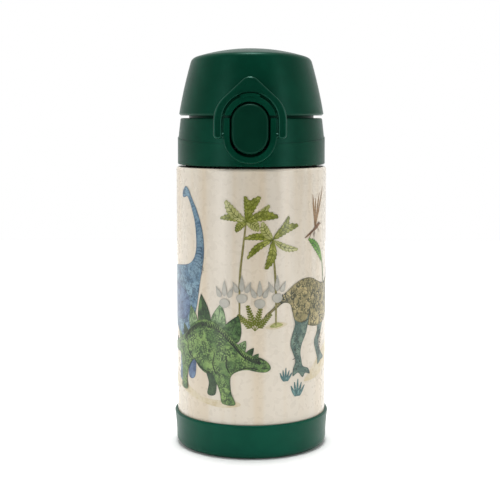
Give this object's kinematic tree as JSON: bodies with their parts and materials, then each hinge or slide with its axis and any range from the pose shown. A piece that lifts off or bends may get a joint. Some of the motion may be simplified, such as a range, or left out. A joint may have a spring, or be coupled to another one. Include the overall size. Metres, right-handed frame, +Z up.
{
  "type": "kids insulated straw bottle",
  "caption": "Insulated straw bottle for a child: printed steel body, rubbery boot, screw lid with push-button flip cap, locking bail and a soft spout.",
  "frame": {"origin": "on the bottle's axis at the face it stands on", "axes": "+Z up along the bottle's axis, -Y towards the push button and bail, +Y towards the cap's hinge"},
  "size_m": [0.0748, 0.0808, 0.1903],
  "materials": {
    "painted_steel": "satin cream powder coat with a printed picture",
    "bare_steel": "electropolished and brushed",
    "getter_metal": "sintered",
    "boot_green": "satin thermoplastic rubber",
    "silicone": "matte translucent silicone",
    "lid_green": "satin moulded polypropylene",
    "button_green": "satin moulded polypropylene",
    "bail_green": "satin moulded plastic",
    "liner_plastic": "satin moulded polypropylene",
    "straw_plastic": "translucent polypropylene",
    "pin_steel": "drawn stainless pin",
    "spring_steel": "drawn stainless wire"
  },
  "bodies": {
    "bottle": {"outer_shell": "painted_steel", "inner_liner": "bare_steel", "shell_bottom": "bare_steel", "getter": "getter_metal", "vacuum_plug": "getter_metal", "base_boot": "boot_green"},
    "seal": {"neck_gasket": "silicone"},
    "lid": {"thread_collar": "lid_green", "lid_housing": "lid_green", "vent_valve": "silicone", "spout": "silicone", "straw": "straw_plastic", "hinge_pin": "pin_steel", "hinge_spring": "spring_steel", "button_pin": "pin_steel", "button_spring": "spring_steel"},
    "cap": {"flip_cap": "lid_green", "cap_liner": "liner_plastic", "spout_seal": "silicone"},
    "button": {"push_button": "button_green"},
    "bail": {"lock_bail": "bail_green"}
  },
  "joints": [
    {"name": "lid_lift", "type": "slide", "parent": "bottle", "child": "seal", "axis": [0, 0, 1], "range_m": [0, 0.005]},
    {"name": "lid_turn", "type": "hinge", "parent": "seal", "child": "lid", "pos_m": [0, 0, 0.15], "axis": [0, 0, 1], "range_deg": [0, 450]},
    {"name": "cap_hinge", "type": "hinge", "parent": "lid", "child": "cap", "pos_m": [0, 0.0372, 0.1536], "axis": [-1, 0, 0], "range_deg": [0, 115], "deforming": ["hinge_spring"]},
    {"name": "button_press", "type": "hinge", "parent": "lid", "child": "button", "pos_m": [0, -0.0374, 0.14433], "axis": [-1, 0, 0], "range_deg": [0, 5], "stiffness_Nm_per_rad": 0.1, "deforming": ["button_spring"]},
    {"name": "bail_swing", "type": "hinge", "parent": "lid", "child": "bail", "pos_m": [0, -0.03685, 0.15], "axis": [1, 0, 0], "range_deg": [0, 160]}
  ],
  "couplings": [
    {"joint": "lid_lift", "follows": "lid_turn", "m_per_rad": 0.00063662}
  ]
}
